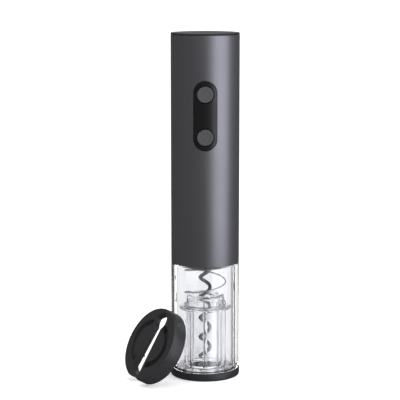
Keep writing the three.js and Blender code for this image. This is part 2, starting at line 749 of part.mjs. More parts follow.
// A half tube with bulkheads round the motor, and a floor for the battery tray.
function chassisTubeWhole() {
  const wall = tube(insertRadius, chassisInside, chassisBottom, chassisTop);
  const bulkheads = [motorBottom + 4, motorTop - 6].map((z) =>
    tube(chassisInside + 0.5, motorSeat, z, z + BULKHEAD),
  );
  const shelfTop = trayFloor - GAP;
  const shelf = tube(chassisInside + 0.5, motorSeat, shelfTop - BULKHEAD, shelfTop);
  return union([wall, ...bulkheads, shelf]);
}

// A cylinder along Y at one screw's place, from y = near to y = far.
function chassisBore(radius, near, far, x, sides = TINY) {
  return cylinder(radius, -far, -near, sides).rotate([90, 0, 0]).translate([x, 0, chassisScrewHeight]);
}

// The two halves part at y = 0. The screws come in through the rear half, and bite in the front one.
function chassisHalf(side) {
  const reach = 2 * BODY_RADIUS;
  const keep = block(2 * reach, reach, 2 * TOTAL_HEIGHT, 0, side * (reach / 2 + GAP / 2));
  const places = [-chassisScrewX, chassisScrewX];
  const ends = [(side * GAP) / 2, side * BOSS_LENGTH].sort((a, b) => a - b);
  const bosses = places.map((x) => chassisBore(BOSS_RADIUS, ...ends, x, COARSE));
  const shanks = places.map((x) => chassisBore(SCREW.shank + GAP, -BOSS_LENGTH - 1, BOSS_LENGTH + 1, x));
  const half = union([chassisTubeWhole().intersect(keep), ...bosses]).subtract(union(shanks));
  if (side > 0) {
    const heads = places.map((x) => chassisBore(SCREW.head + GAP, BOSS_LENGTH, reach, x, COARSE));
    return half.subtract(union(heads));
  }
  const windowReach = Math.max(BOARD_WIDTH / 2, PANEL_WIDTH / 2 + PANEL_FLANGE) + GAP;
  const windowLength = Math.max(BOARD_LENGTH, PANEL_LENGTH + 2 * PANEL_FLANGE) + 2 * GAP;
  const opening = block(2 * windowReach, BODY_RADIUS, windowLength, 0, -BODY_RADIUS - WIRE_RUN, panelCentre);
  const shelfCut = block(2 * windowReach, 10, 12, 0, -chassisInside + 2, trayFloor);
  return half.subtract(opening).subtract(shelfCut);
}

function batteryTray() {
  const plate = cylinder(chassisInside - GAP, trayFloor, trayFloor + TRAY_THICKNESS);
  const height = cellTop - trayFloor - 4;
  const middle = trayFloor + height / 2;
  const across = 2 * (cellOffset + CELL_RADIUS);
  const cross = block(across, DIVIDER, height, 0, 0, middle).add(
    block(DIVIDER, across, height, 0, 0, middle),
  );
  const boardCut = block(BOARD_WIDTH + 6, 10, 20, 0, -boardFace - 5 + BOARD_THICKNESS + 2 * GAP, trayFloor);
  return plate.add(cross).subtract(boardCut);
}

function cell() {
  return revolve(
    [
      [0, 0],
      [CELL_RADIUS, 0],
      [CELL_RADIUS, CELL_LENGTH],
      [CELL_NUB_RADIUS, CELL_LENGTH],
      [CELL_NUB_RADIUS, CELL_LENGTH + CELL_NUB_HEIGHT],
      [0, CELL_LENGTH + CELL_NUB_HEIGHT],
    ],
    COARSE,
  );
}

// Corners in turn round the tray. Neighbours face opposite ways, so that the cells are in series.
const cellPlaces = [
  { x: -1, y: -1, up: true },
  { x: 1, y: -1, up: false },
  { x: 1, y: 1, up: true },
  { x: -1, y: 1, up: false },
];

function addCells() {
  const one = cell();
  cellPlaces.forEach(({ x, y, up }, i) => {
    const mesh = node(`battery_${i + 1}`, one, cellWrap);
    const bottom = up ? cellBottom : cellTop;
    mesh.position.set(x * cellOffset, y * cellOffset, bottom);
    if (!up) mesh.rotation.x = Math.PI;
  });
}

// A conical contact spring under each cell that stands on its flat end.
function contactSpring() {
  const bottom = trayFloor + TRAY_THICKNESS + GAP + CONTACT_WIRE / 2;
  const top = cellBottom - GAP - CONTACT_WIRE / 2;
  const turns = 2.2;
  const path = new Helix(
    (t) => 5 - 2.4 * t,
    (t) => 2 * Math.PI * turns * t,
    (t) => bottom + t * (top - bottom),
  );
  return wireAlong(path, CONTACT_WIRE / 2, Math.round(turns * 12), 5);
}

function capContact() {
  const reach = 2 * cellOffset + CONTACT_WIDTH;
  const top = capInside - GAP;
  return block(CONTACT_WIDTH, reach, CONTACT_PLATE, 0, 0, top - CONTACT_PLATE / 2);
}

node("body_shell", bodyShell(), gunmetal);
node("top_cap", topCap(), blackPlastic);
node("chassis_front", chassisHalf(-1), frameGrey);
node("chassis_rear", chassisHalf(1), frameGrey);
[-1, 1].forEach((side, i) => {
  const mesh = node(`chassis_screw_${i + 1}`, screw(CHASSIS_SCREW_LENGTH), nickel);
  mesh.rotation.x = Math.PI / 2;
  mesh.position.set(side * chassisScrewX, BOSS_LENGTH + SCREW.headHeight + GAP, chassisScrewHeight);
});
node("battery_tray", batteryTray(), frameGrey);
addCells();
cellPlaces
  .filter(({ up }) => up)
  .forEach(({ x, y }, i) => {
    const mesh = node(`contact_spring_${i + 1}`, contactSpring(), springSteel);
    mesh.position.set(x * cellOffset, y * cellOffset, 0);
  });
node("cap_contact_left", capContact(), nickel).position.x = -cellOffset;
node("cap_contact_right", capContact(), nickel).position.x = cellOffset;

// ---------------------------------------------------------------- buttons and board

const buttonHeights = { up: panelCentre + BUTTON_PITCH / 2, down: panelCentre - BUTTON_PITCH / 2 };

// A cylinder that points forwards from y = -near to y = -far at one button's height.
function forwards(radius, near, far, height, sides = 24) {
  return cylinder(radius, near, far, sides).rotate([90, 0, 0]).translate([0, 0, height]);
}

function buttonPanel() {
  const face = tube(BODY_RADIUS, panelInside - PANEL_FLANGE_THICKNESS / 2, SHELL_BOTTOM, shellTop);
  const front = face.intersect(frontPrism(panelOpening(-GAP), 0, BODY_RADIUS + 2));
  const flangeOut = shellInside - GAP;
  const rear = tube(flangeOut, flangeOut - PANEL_FLANGE_THICKNESS, SHELL_BOTTOM, shellTop);
  const flange = rear.intersect(frontPrism(panelOpening(PANEL_FLANGE), 0, BODY_RADIUS + 2));
  const holes = Object.values(buttonHeights).map((z) =>
    forwards(BUTTON_RADIUS + BUTTON_GAP, 0, BODY_RADIUS + 2, z),
  );
  return front.add(flange).subtract(union(holes));
}

// A flat-faced button with a stem that reaches into its switch.
function button(height) {
  const cap = forwards(BUTTON_RADIUS, buttonBack, buttonFace, height);
  const stem = forwards(STEM_RADIUS, switchFace - 0.5, buttonBack + 0.5, height, TINY);
  return cap.add(stem);
}

function tactSwitch(height) {
  const middle = switchFace - SWITCH_DEPTH / 2;
  const body = block(SWITCH_SIDE, SWITCH_DEPTH, SWITCH_SIDE, 0, -middle, height);
  const well = forwards(STEM_RADIUS + GAP, switchFace - SWITCH_DEPTH + 0.4, switchFace + 1, height, TINY);
  return body.subtract(well);
}

function controlBoard() {
  const middle = boardFace - BOARD_THICKNESS / 2;
  const board = block(BOARD_WIDTH, BOARD_THICKNESS, BOARD_LENGTH, 0, -middle, panelCentre);
  const chip = block(5, 1.2, 5, 0, -(boardFace + 0.5), panelCentre);
  const capacitor = block(3, 1.6, 4, 4.5, -(boardFace + 0.6), panelCentre - 5);
  const resistors = [-4, -1.5, 1].map((z) => block(1.6, 0.8, 0.9, -5, -(boardFace + 0.3), panelCentre + z));
  return union([board, chip, capacitor, ...resistors]);
}

// A lead from behind the foot of the board down to one of the motor's terminals.
function motorLead(side) {
  const behindBoard = boardFace - BOARD_THICKNESS - LEAD_RADIUS - 2 * GAP;
  const boardFoot = panelCentre - BOARD_LENGTH / 2;
  const terminalTop = motorTop + GAP + END_CAP_LENGTH + TERMINAL_LENGTH;
  const path = new THREE.CatmullRomCurve3([
    new THREE.Vector3(side * 3, -behindBoard, boardFoot + 2),
    new THREE.Vector3(side * 6, -behindBoard / 2 - 1, boardFoot + 1),
    new THREE.Vector3((side * TERMINAL_SPACING) / 2, -2.6, terminalTop - 1.3),
  ]);
  return wireAlong(path, LEAD_RADIUS, 10, 6);
}

node("button_panel", buttonPanel(), panelBlack);
node("button_up", button(buttonHeights.up), buttonGrey);
node("button_down", button(buttonHeights.down), buttonGrey);
node("switch_up", tactSwitch(buttonHeights.up), blackPlastic);
node("switch_down", tactSwitch(buttonHeights.down), blackPlastic);
node("control_board", controlBoard(), boardGreen);
node("motor_lead_red", motorLead(1), redWire);
node("motor_lead_black", motorLead(-1), blackWire);

// ---------------------------------------------------------------- foil cutter

// In the cutter's own frame its face is z = 0 and looks along +Z, and the slit runs along Y, from the
// web at the +Y end to the open mouth at the -Y end.
const reliefCentre = CUTTER_RADIUS - WEB_THICKNESS - RELIEF_RADIUS;
const wheelOrbit = CUTTER_BORE + WHEEL_RADIUS - WHEEL_REACH;

function slitOutline() {
  const top = reliefCentre;
  const end = -(PAD_RADIUS + PAD_OFFSET) + 1;
  const rightSide = [
    [SLIT_TOP_WIDTH / 2, top],
    [SLIT_END_WIDTH / 2, end],
    [SLIT_MOUTH_WIDTH / 2, end],
    [SLIT_MOUTH_WIDTH / 2, -CUTTER_RADIUS - 2],
  ];
  const leftSide = rightSide.toReversed().map(([x, y]) => [-x, y]);
  return new THREE.Shape([...leftSide, ...rightSide].map(([x, y]) => new THREE.Vector2(x, y)));
}

// The groove round one half's pad. Its ends stop short of the slit.
function grooveRound(side) {
  const band = tube(GROOVE_RADIUS, PAD_RADIUS, -GROOVE_DEPTH, 1, MEDIUM);
  const start = side * (GROOVE_START - PAD_OFFSET + GROOVE_RADIUS / 2);
  const keep = block(GROOVE_RADIUS, 3 * GROOVE_RADIUS, 4 * GROOVE_DEPTH, start);
  return band.intersect(keep).translate([side * PAD_OFFSET, 0, 0]);
}

function wheelPlaces() {
  const angles = [Math.PI - WHEEL_ANGLE, Math.PI + WHEEL_ANGLE, WHEEL_ANGLE, -WHEEL_ANGLE];
  return angles.map((angle) => ({ x: wheelOrbit * Math.cos(angle), y: wheelOrbit * Math.sin(angle) }));
}

function cutterWhole() {
  const back = -CUTTER_THICKNESS;
  const disc = revolve([
    [0, back],
    [CUTTER_RADIUS - CUTTER_EDGE, back],
    [CUTTER_RADIUS, back + CUTTER_EDGE],
    [CUTTER_RADIUS, -CUTTER_EDGE],
    [CUTTER_RADIUS - CUTTER_EDGE, 0],
    [0, 0],
  ]);
  const bore = cylinder(CUTTER_BORE, back - 1, -CUTTER_FLOOR);
  const relief = cylinder(RELIEF_RADIUS, back - 1, 1, 24).translate([0, reliefCentre, 0]);
  const slit = prism(slitOutline(), back - 1, 1);
  const wideEnds = cylinder(END_RADIUS, back - 1, -CUTTER_FLOOR).subtract(
    block(4 * END_RADIUS, LAND_LENGTH, 4 * CUTTER_THICKNESS),
  );
  const grooves = [-1, 1].map((side) => grooveRound(side));
  const wheelSlot = WHEEL_HUB_THICKNESS / 2 + GAP;
  const wheelPockets = wheelPlaces().map(({ x, y }) =>
    cylinder(WHEEL_RADIUS + GAP, -WHEEL_DEPTH - wheelSlot, -WHEEL_DEPTH + wheelSlot, COARSE)
      .add(cylinder(AXLE_RADIUS + GAP, -WHEEL_DEPTH - 10, -WHEEL_DEPTH + AXLE_LENGTH / 2 + GAP, TINY))
      .translate([x, y, 0]),
  );
  return disc.subtract(union([bore, wideEnds, relief, slit, ...grooves, ...wheelPockets]));
}

function cutterHalf(side) {
  const reach = 4 * CUTTER_RADIUS;
  return cutterWhole().intersect(block(reach, reach, reach, side * (reach / 2 + HALF_SPLIT / 2)));
}

function cuttingWheel() {
  const rim = WHEEL_THICKNESS / 2;
  const hub = WHEEL_HUB_THICKNESS / 2;
  return revolve(
    [
      [AXLE_RADIUS + GAP, -hub],
      [AXLE_RADIUS + 1, -hub],
      [WHEEL_RADIUS, -rim],
      [WHEEL_RADIUS, rim],
      [AXLE_RADIUS + 1, hub],
      [AXLE_RADIUS + GAP, hub],
    ],
    COARSE,
  );
}

// Turns the cutter's own frame to where it leans, touching the opener with its rear upper edge.
function leaningFrame() {
  const outwards = new THREE.Vector3(-Math.cos(CUTTER_AZIMUTH), -Math.sin(CUTTER_AZIMUTH), 0);
  const upright = new THREE.Vector3(0, 0, 1);
  const sine = Math.sin(CUTTER_TILT);
  const cosine = Math.cos(CUTTER_TILT);
  const normal = outwards.clone().multiplyScalar(cosine).addScaledVector(upright, sine);
  const upSlope = outwards.clone().multiplyScalar(-sine).addScaledVector(upright, cosine);
  const across = upSlope.clone().cross(normal);
  const group = new THREE.Group();
  group.matrixAutoUpdate = true;
  group.setRotationFromMatrix(new THREE.Matrix4().makeBasis(across, upSlope, normal));
  group.rotateZ(CUTTER_ROLL);
  const rearEdge = CUTTER_THICKNESS - CUTTER_EDGE;
  const touchEdge = rearEdge * cosine + CUTTER_RADIUS * sine;
  const touchFace = CUTTER_THICKNESS * cosine + (CUTTER_RADIUS - CUTTER_EDGE) * sine;
  const distance = BODY_RADIUS + GAP + Math.max(touchEdge, touchFace);
  const height = rearEdge * sine + CUTTER_RADIUS * cosine;
  group.position.copy(outwards.multiplyScalar(distance)).setZ(height);
  return group;
}

const cutter = leaningFrame();
model.add(cutter);
node("cutter_half_left", cutterHalf(-1), cutterBlack, cutter);
node("cutter_half_right", cutterHalf(1), cutterBlack, cutter);
wheelPlaces().forEach(({ x, y }, i) => {
  node(`cutting_wheel_${i + 1}`, cuttingWheel(), nickel, cutter).position.set(x, y, -WHEEL_DEPTH);
  const axle = cylinder(AXLE_RADIUS, -AXLE_LENGTH / 2, AXLE_LENGTH / 2, TINY);
  node(`wheel_axle_${i + 1}`, axle, nickel, cutter).position.set(x, y, -WHEEL_DEPTH);
});

// ---------------------------------------------------------------- the shared footprint's centre

model.updateMatrixWorld(true);
const middle = new THREE.Box3().setFromObject(model, true).getCenter(new THREE.Vector3());
model.position.set(-middle.x, -middle.y, 0);

export default model;
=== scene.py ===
"""The looks of an electric wine opener and its foil cutter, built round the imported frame.

The scene is in metres. Profiles and the sizes named for them are in millimetres. Turned pieces are lathed
about the opener's own axis, and places come from the frame's boxes and joints.
"""
import json
import math

import bmesh
import bpy
from mathutils import Matrix, Vector


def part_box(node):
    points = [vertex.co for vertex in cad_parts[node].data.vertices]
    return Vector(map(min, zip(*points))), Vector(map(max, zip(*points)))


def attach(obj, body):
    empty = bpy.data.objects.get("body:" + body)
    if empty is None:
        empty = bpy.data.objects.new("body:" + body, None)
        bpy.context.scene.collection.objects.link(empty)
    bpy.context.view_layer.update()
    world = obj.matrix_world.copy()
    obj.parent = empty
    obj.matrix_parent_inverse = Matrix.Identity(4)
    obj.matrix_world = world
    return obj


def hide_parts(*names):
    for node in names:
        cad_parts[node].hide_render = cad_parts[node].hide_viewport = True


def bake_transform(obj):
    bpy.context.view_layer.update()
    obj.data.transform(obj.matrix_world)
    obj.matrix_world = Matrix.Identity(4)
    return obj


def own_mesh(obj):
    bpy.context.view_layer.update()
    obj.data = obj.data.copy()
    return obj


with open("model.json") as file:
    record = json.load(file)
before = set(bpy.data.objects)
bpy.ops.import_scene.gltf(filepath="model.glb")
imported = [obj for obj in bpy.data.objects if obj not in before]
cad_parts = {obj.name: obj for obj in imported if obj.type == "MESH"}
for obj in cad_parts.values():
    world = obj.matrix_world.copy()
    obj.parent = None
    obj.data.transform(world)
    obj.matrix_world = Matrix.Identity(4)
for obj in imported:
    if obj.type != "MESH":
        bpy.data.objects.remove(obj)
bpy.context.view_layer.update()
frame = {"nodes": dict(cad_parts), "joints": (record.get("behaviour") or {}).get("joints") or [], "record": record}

MM = 0.001
ROUND = 128  # segments of a turned piece, where it gives no number of its own
SMALL = 48
FILLET_STEPS = 4
SMOOTH_ANGLE = 35  # degrees between faces up to which they shade as one

# ------------------------------------------------------------------ places from the frame

BOX = {name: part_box(name) for name in frame["nodes"]}
JOINTS = {joint["name"]: joint for joint in frame["joints"]}


def low(node):
    return BOX[node][0]


def high(node):
    return BOX[node][1]


def middle_of(node):
    return (low(node) + high(node)) / 2


AXIS = middle_of("body_shell")
AXIS_X, AXIS_Y = AXIS.x, AXIS.y
ON_AXIS = Matrix.Translation((AXIS_X, AXIS_Y, 0))
TOTAL_TOP = high("top_cap").z
SHELL_BOTTOM = low("body_shell").z
SHELL_TOP = high("body_shell").z
BODY_R = (high("chamber_tube").x - low("chamber_tube").x) / 2
RING_R = (high("base_ring").x - low("base_ring").x) / 2
RING_TOP = high("base_ring").z


# ------------------------------------------------------------------ mesh helpers

def shade_smooth(mesh, angle):
    """Smooths every face, except across edges sharper than the angle."""
    mesh.polygons.foreach_set("use_smooth", [True] * len(mesh.polygons))
    mesh.set_sharp_from_angle(angle=math.radians(angle))


def mesh_from(name, bm, smooth_angle=SMOOTH_ANGLE):
    """Turns the bmesh into a smoothed object in the scene, and frees it."""
    mesh = bpy.data.meshes.new(name)
    bmesh.ops.recalc_face_normals(bm, faces=bm.faces)
    bm.to_mesh(mesh)
    bm.free()
    obj = bpy.data.objects.new(name, mesh)
    bpy.context.scene.collection.objects.link(obj)
    shade_smooth(mesh, smooth_angle)
    mesh.update()
    return obj


def fillet(before, corner, after, radius):
    """Points of an arc that rounds the corner of an outline."""
    corner = Vector(corner)
    a, b = Vector(before) - corner, Vector(after) - corner
    turn = a.angle(b)
    cut = min(radius / math.tan(turn / 2), a.length * 0.49, b.length * 0.49)
    true_radius = cut * math.tan(turn / 2)
    middle = corner + (a.normalized() + b.normalized()).normalized() * (true_radius / math.sin(turn / 2))
    start, end = corner + a.normalized() * cut - middle, corner + b.normalized() * cut - middle
    return [middle + start.slerp(end, i / FILLET_STEPS) * true_radius for i in range(FILLET_STEPS + 1)]


def rounded(corners, closed=True):
    """An outline from (x, y) or (x, y, radius) corners in millimetres, as metres."""
    count = len(corners)
    points = []
    for i, corner in enumerate(corners):
        radius = corner[2] if len(corner) > 2 else 0
        at_end = not closed and i in (0, count - 1)
        if radius == 0 or at_end:
            points.append(Vector(corner[:2]))
        else:
            points += fillet(corners[i - 1][:2], corner[:2], corners[(i + 1) % count][:2], radius)
    return [p * MM for p in points]


def lathe_into(bm, outline, sides, closed):
    """Turns an outline of (radius, height) about Z. An open outline starts and ends on the axis."""
    rings = []
    for p in outline:
        if p.x < 1e-7:
            rings.append([bm.verts.new((0, 0, p.y))])
            continue
        ring = []
        for i in range(sides):
            angle = 2 * math.pi * i / sides
            ring.append(bm.verts.new((p.x * math.cos(angle), p.x * math.sin(angle), p.y)))
        rings.append(ring)
    pairs = list(zip(rings, rings[1:]))
    if closed:
        pairs.append((rings[-1], rings[0]))
    for one, two in pairs:
        for i in range(sides):
            j = (i + 1) % sides
            corners = [one[i % len(one)], one[j % len(one)], two[j % len(two)], two[i % len(two)]]
            unique = list(dict.fromkeys(corners))
            if len(unique) > 2:
                bm.faces.new(unique)


def lathe(name, corners, sides=ROUND, closed=True, place=ON_AXIS):
    """A turned piece. place is the transform from its own axis, Z, to the frame that all pieces share."""
    bm = bmesh.new()
    lathe_into(bm, rounded(corners, closed), sides, closed)
    bm.transform(place)
    return mesh_from(name, bm)


def cylinder(name, radius, bottom, top, sides, place):
    return lathe(name, [(0, bottom), (radius, bottom), (radius, top), (0, top)], sides, False, place)


def prism(name, outline, bottom, top, place=None):
    """A flat outline of (x, y) points in metres, pushed along Z between two heights."""
    bm = bmesh.new()
    lower = [bm.verts.new((p[0], p[1], bottom)) for p in outline]
    upper = [bm.verts.new((p[0], p[1], top)) for p in outline]
    bm.faces.new(lower[::-1])
    bm.faces.new(upper)
    for i in range(len(outline)):
        j = (i + 1) % len(outline)
        bm.faces.new((lower[i], lower[j], upper[j], upper[i]))
    if place:
        bm.transform(place)
    return mesh_from(name, bm)


def tube_along(name, points, radii, sides):
    """Round wire through the points, with flat ends, whose radius follows radii."""
    bm = bmesh.new()
    rings = []
    tangent = (points[1] - points[0]).normalized()
    side = tangent.orthogonal().normalized()
    for i, p in enumerate(points):
        ahead = points[min(i + 1, len(points) - 1)] - points[max(i - 1, 0)]
        turn = tangent.rotation_difference(ahead.normalized())
        tangent, side = ahead.normalized(), (turn @ side).normalized()
        across = tangent.cross(side)
        ring = []
        for k in range(sides):
            angle = 2 * math.pi * k / sides
            spoke = side * math.cos(angle) + across * math.sin(angle)
            ring.append(bm.verts.new(p + spoke * radii[i]))
        rings.append(ring)
    for one, two in zip(rings, rings[1:]):
        for k in range(sides):
            j = (k + 1) % sides
            bm.faces.new((one[k], one[j], two[j], two[k]))
    bm.faces.new(rings[0][::-1])
    bm.faces.new(rings[-1])
    bm.transform(ON_AXIS)
    return mesh_from(name, bm, 60)


def combine(target, tool, operation):
    """Cuts or joins with another object, applies the result and deletes the other object."""
    modifier = target.modifiers.new("combine", "BOOLEAN")
    modifier.operation = operation
    modifier.solver = "EXACT"
    modifier.object = tool
    apply_modifiers(target)
    bpy.data.objects.remove(tool)


def apply_modifiers(obj):
    depsgraph = bpy.context.evaluated_depsgraph_get()
    depsgraph.update()
    mesh = bpy.data.meshes.new_from_object(obj.evaluated_get(depsgraph))
    obj.modifiers.clear()
    obj.data = mesh


def bevel_edges(obj, width, angle, segments):
    """Joins the cuts' leftover flat faces, then rounds every edge sharper than the angle."""
    bm = bmesh.new()
    bm.from_mesh(obj.data)
    bmesh.ops.remove_doubles(bm, verts=bm.verts, dist=1e-6)
    bmesh.ops.dissolve_limit(bm, angle_limit=math.radians(0.3), verts=bm.verts, edges=bm.edges)
    bm.to_mesh(obj.data)
    bm.free()
    shade_smooth(obj.data, angle)
    modifier = obj.modifiers.new("edge", "BEVEL")
    modifier.width = width * MM
    modifier.segments = segments
    modifier.limit_method = "ANGLE"
    modifier.angle_limit = math.radians(angle)
    modifier.harden_normals = True
    modifier.use_clamp_overlap = True
    apply_modifiers(obj)


def finish_piece(obj, body, nodes, slot):
    """Rides the piece on its body, if it has one, stands it for its CAD nodes and gives it its material."""
    obj.data.materials.clear()
    obj.data.materials.append(MATERIALS[slot])
    if body:
        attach(obj, body)
    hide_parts(*nodes)


# ------------------------------------------------------------------ materials

NOISE_ROUGHNESS = 0.55
NOISE_LOW, NOISE_HIGH = 0.3, 0.7  # most of a noise's values lie between these


def set_range(map_range, start, end, first, last):
    """Makes a Map Range node take start to end over to first to last."""
    for socket, number in zip(("From Min", "From Max", "To Min", "To Max"), (start, end, first, last)):
        map_range.inputs[socket].default_value = number


class Shader:
    """A node material with a Principled BSDF, and short calls for its patterns."""

    def __init__(self, name, color, roughness, metallic=0.0, **sockets):
        self.material = bpy.data.materials.new(name)
        self.material.use_nodes = True
        self.nodes = self.material.node_tree.nodes
        self.links = self.material.node_tree.links
        self.bsdf = self.nodes["Principled BSDF"]
        self.color = color
        self.set("Base Color", (*color, 1))
        self.set("Roughness", roughness)
        self.set("Metallic", metallic)
        for socket, value in sockets.items():
            self.set(socket.replace("_", " "), value)

    def set(self, socket, value):
        self.bsdf.inputs[socket].default_value = value

    def node(self, kind, **inputs):
        made = self.nodes.new(kind)
        for socket, value in inputs.items():
            made.inputs[socket.replace("_", " ")].default_value = value
        return made

    def coordinates(self, stretch):
        source = self.nodes.new("ShaderNodeTexCoord")
        mapping = self.node("ShaderNodeMapping", Scale=stretch)
        self.links.new(source.outputs["Object"], mapping.inputs["Vector"])
        return mapping.outputs["Vector"]

    def noise(self, scale, detail, stretch=(1, 1, 1)):
        made = self.node("ShaderNodeTexNoise", Scale=scale, Detail=detail, Roughness=NOISE_ROUGHNESS)
        self.links.new(self.coordinates(stretch), made.inputs["Vector"])
        return made.outputs["Fac"]

    def ramp(self, value, low_value, high_value):
        made = self.nodes.new("ShaderNodeMapRange")
        set_range(made, NOISE_LOW, NOISE_HIGH, low_value, high_value)
        self.links.new(value, made.inputs["Value"])
        return made.outputs["Result"]

    def vary_roughness(self, value, low_value, high_value):
        self.links.new(self.ramp(value, low_value, high_value), self.bsdf.inputs["Roughness"])
        return self

    def vary_color(self, value, darker, lighter):
        mix = self.nodes.new("ShaderNodeMix")
        mix.data_type = "RGBA"
        self.links.new(self.ramp(value, 0.0, 1.0), mix.inputs["Factor"])
        mix.inputs["A"].default_value = (*[c * darker for c in self.color], 1)
        mix.inputs["B"].default_value = (*[min(1, c * lighter) for c in self.color], 1)
        self.links.new(mix.outputs["Result"], self.bsdf.inputs["Base Color"])
        return self

    def bump(self, value, distance, strength):
        made = self.nodes.new("ShaderNodeBump")
        made.inputs["Distance"].default_value = distance * MM
        made.inputs["Strength"].default_value = strength
        self.links.new(value, made.inputs["Height"])
        self.links.new(made.outputs["Normal"], self.bsdf.inputs["Normal"])
        return self


def gunmetal():
    """Bead-blasted and anodised metal: a fine grain, and slow changes in its sheen."""
    made = Shader("gunmetal", (0.235, 0.235, 0.25), 0.44, 0.92)
    made.vary_roughness(made.noise(38, 2), 0.43, 0.46)
    made.vary_color(made.noise(2600, 2), 0.95, 1.05)
    return made.bump(made.noise(3600, 3), 0.006, 0.35).material


def moulded_black(name, color, roughness, grain=0.012, scale=1500, gloss=0.5):
    """Satin moulded plastic with a fine spark-eroded grain."""
    made = Shader(name, color, roughness, Specular_IOR_Level=gloss)
    made.vary_roughness(made.noise(60, 3), roughness - 0.05, roughness + 0.05)
    made.vary_color(made.noise(25, 2), 0.92, 1.08)
    return made.bump(made.noise(scale, 3), grain, 0.5).material


def clear_plastic(name, tint, ior, roughness=0.0):
    """Clear moulded plastic. It bends light less than real acrylic, so what is inside shows as it is."""
    made = Shader(name, tint, roughness, IOR=ior, Transmission_Weight=1.0, Coat_Weight=1.0, Coat_IOR=1.45)
    made.set("Coat Roughness", 0.02)
    made.vary_roughness(made.noise(90, 2), roughness, roughness + 0.012)
    return made.bump(made.noise(120, 1), 0.004, 0.25).material


def drawn_steel(name, color, roughness, streaks=900):
    """Steel wire or bar with fine marks from drawing."""
    made = Shader(name, color, roughness, 1.0)
    marks = made.noise(streaks, 4, (1, 1, 0.15))
    made.vary_roughness(marks, roughness - 0.06, roughness + 0.08)
    made.vary_color(made.noise(140, 3), 0.85, 1.1)
    return made.bump(marks, 0.004, 0.4).material


def cast_metal(name, color, roughness):
    """Sintered or die-cast metal with a granular skin."""
    made = Shader(name, color, roughness, 1.0)
    made.vary_roughness(made.noise(400, 4), roughness - 0.08, roughness + 0.1)
    made.vary_color(made.noise(700, 4), 0.85, 1.1)
    return made.bump(made.noise(1400, 4), 0.02, 0.5).material


def board_material():
    made = Shader("board_green", (0.03, 0.16, 0.07), 0.4)
    made.vary_color(made.noise(1800, 2, (1, 1, 4)), 0.85, 1.2)
    made.vary_roughness(made.noise(200, 2), 0.3, 0.45)
    return made.material


def cell_material():
    made = Shader("cell_wrap", (0.05, 0.16, 0.11), 0.3)
    made.vary_color(made.noise(60, 2), 0.95, 1.08)
    made.vary_roughness(made.noise(90, 3), 0.22, 0.38)
    return made.bump(made.noise(250, 2), 0.01, 0.4).material


MATERIALS = {
    "gunmetal": gunmetal(),
    "cap_black": moulded_black("cap_black", (0.02, 0.02, 0.022), 0.55, gloss=0.15),
    "black_plastic": moulded_black("black_plastic", (0.016, 0.016, 0.018), 0.4),
    "panel_black": moulded_black("panel_black", (0.005, 0.005, 0.0055), 0.3, 0.004),
    "button_grey": moulded_black("button_grey", (0.05, 0.05, 0.053), 0.42),
    "clear_plastic": clear_plastic("clear_plastic", (0.89, 0.892, 0.91), 1.07),
    "clear_guide": clear_plastic("clear_guide", (0.95, 0.952, 0.962), 1.45, 0.01),
    "spring_steel": drawn_steel("spring_steel", (0.30, 0.30, 0.32), 0.28),
    "worm_steel": drawn_steel("worm_steel", (0.13, 0.13, 0.14), 0.3, 500),
    "zinc_steel": cast_metal("zinc_steel", (0.5, 0.5, 0.51), 0.35),
    "motor_steel": drawn_steel("motor_steel", (0.55, 0.55, 0.56), 0.3),
    "bronze": cast_metal("bronze", (0.5, 0.31, 0.14), 0.42),
    "grey_plastic": moulded_black("grey_plastic", (0.2, 0.205, 0.21), 0.5, 0.02, 900),
    "gear_metal": cast_metal("gear_metal", (0.42, 0.39, 0.35), 0.42),
    "nickel": drawn_steel("nickel", (0.62, 0.61, 0.58), 0.25),
    "cell_wrap": cell_material(),
    "board_green": board_material(),
    "red_wire": moulded_black("red_wire", (0.35, 0.02, 0.02), 0.5),
    "black_wire": moulded_black("black_wire", (0.02, 0.02, 0.02), 0.5),
    "cutter_black": moulded_black("cutter_black", (0.021, 0.021, 0.0225), 0.42, 0.01, 1300),
    "wheel_steel": drawn_steel("wheel_steel", (0.6, 0.6, 0.61), 0.2),
}


CAD_EDGE = 0.12
CAD_EDGE_ANGLE = 40  # degrees


def dress_cad_nodes():
    """Every CAD node gets the material of its slot, and those that still show get soft edges."""
    for row in frame["record"]["subparts"]:
        obj = frame["nodes"][row["node"]]
        obj.data.materials.clear()
        obj.data.materials.append(MATERIALS[row["material_slot"]])
        if obj.hide_render:
            continue
        shade_smooth(obj.data, SMOOTH_ANGLE)
        edge = obj.modifiers.new("edge", "BEVEL")
        edge.width = CAD_EDGE * MM
        edge.segments = 2
        edge.limit_method = "ANGLE"
        edge.angle_limit = math.radians(CAD_EDGE_ANGLE)


# ------------------------------------------------------------------ camera, light and floor

SENSOR = 36
LENS = 133.2
CAMERA_DISTANCE = 1.030  # metres in front of the opener's axis
CAMERA_HEIGHT = 0.2897  # metres
CAMERA_SIDE = -0.0036  # metres
CAMERA_DOWN = 9.06  # degrees
FLOOR_GLOW = 0.25
WORLD_STRENGTH = 1.14
STUDIO_DIM = 0.058  # what mirrors see, as a share of white
STUDIO_BACK = 0.8  # what is added to it straight behind
CARD_DARK = 0.04  # what clear pieces see on the dark card


def add_camera():
    camera = bpy.data.objects.new("camera", bpy.data.cameras.new("camera"))
    bpy.context.scene.collection.objects.link(camera)
    camera.data.sensor_width = SENSOR
    camera.data.lens = LENS
    camera.location = (AXIS_X + CAMERA_SIDE, AXIS_Y - CAMERA_DISTANCE, CAMERA_HEIGHT)
    camera.rotation_euler = (math.radians(90 - CAMERA_DOWN), 0, 0)
    bpy.context.scene.camera = camera


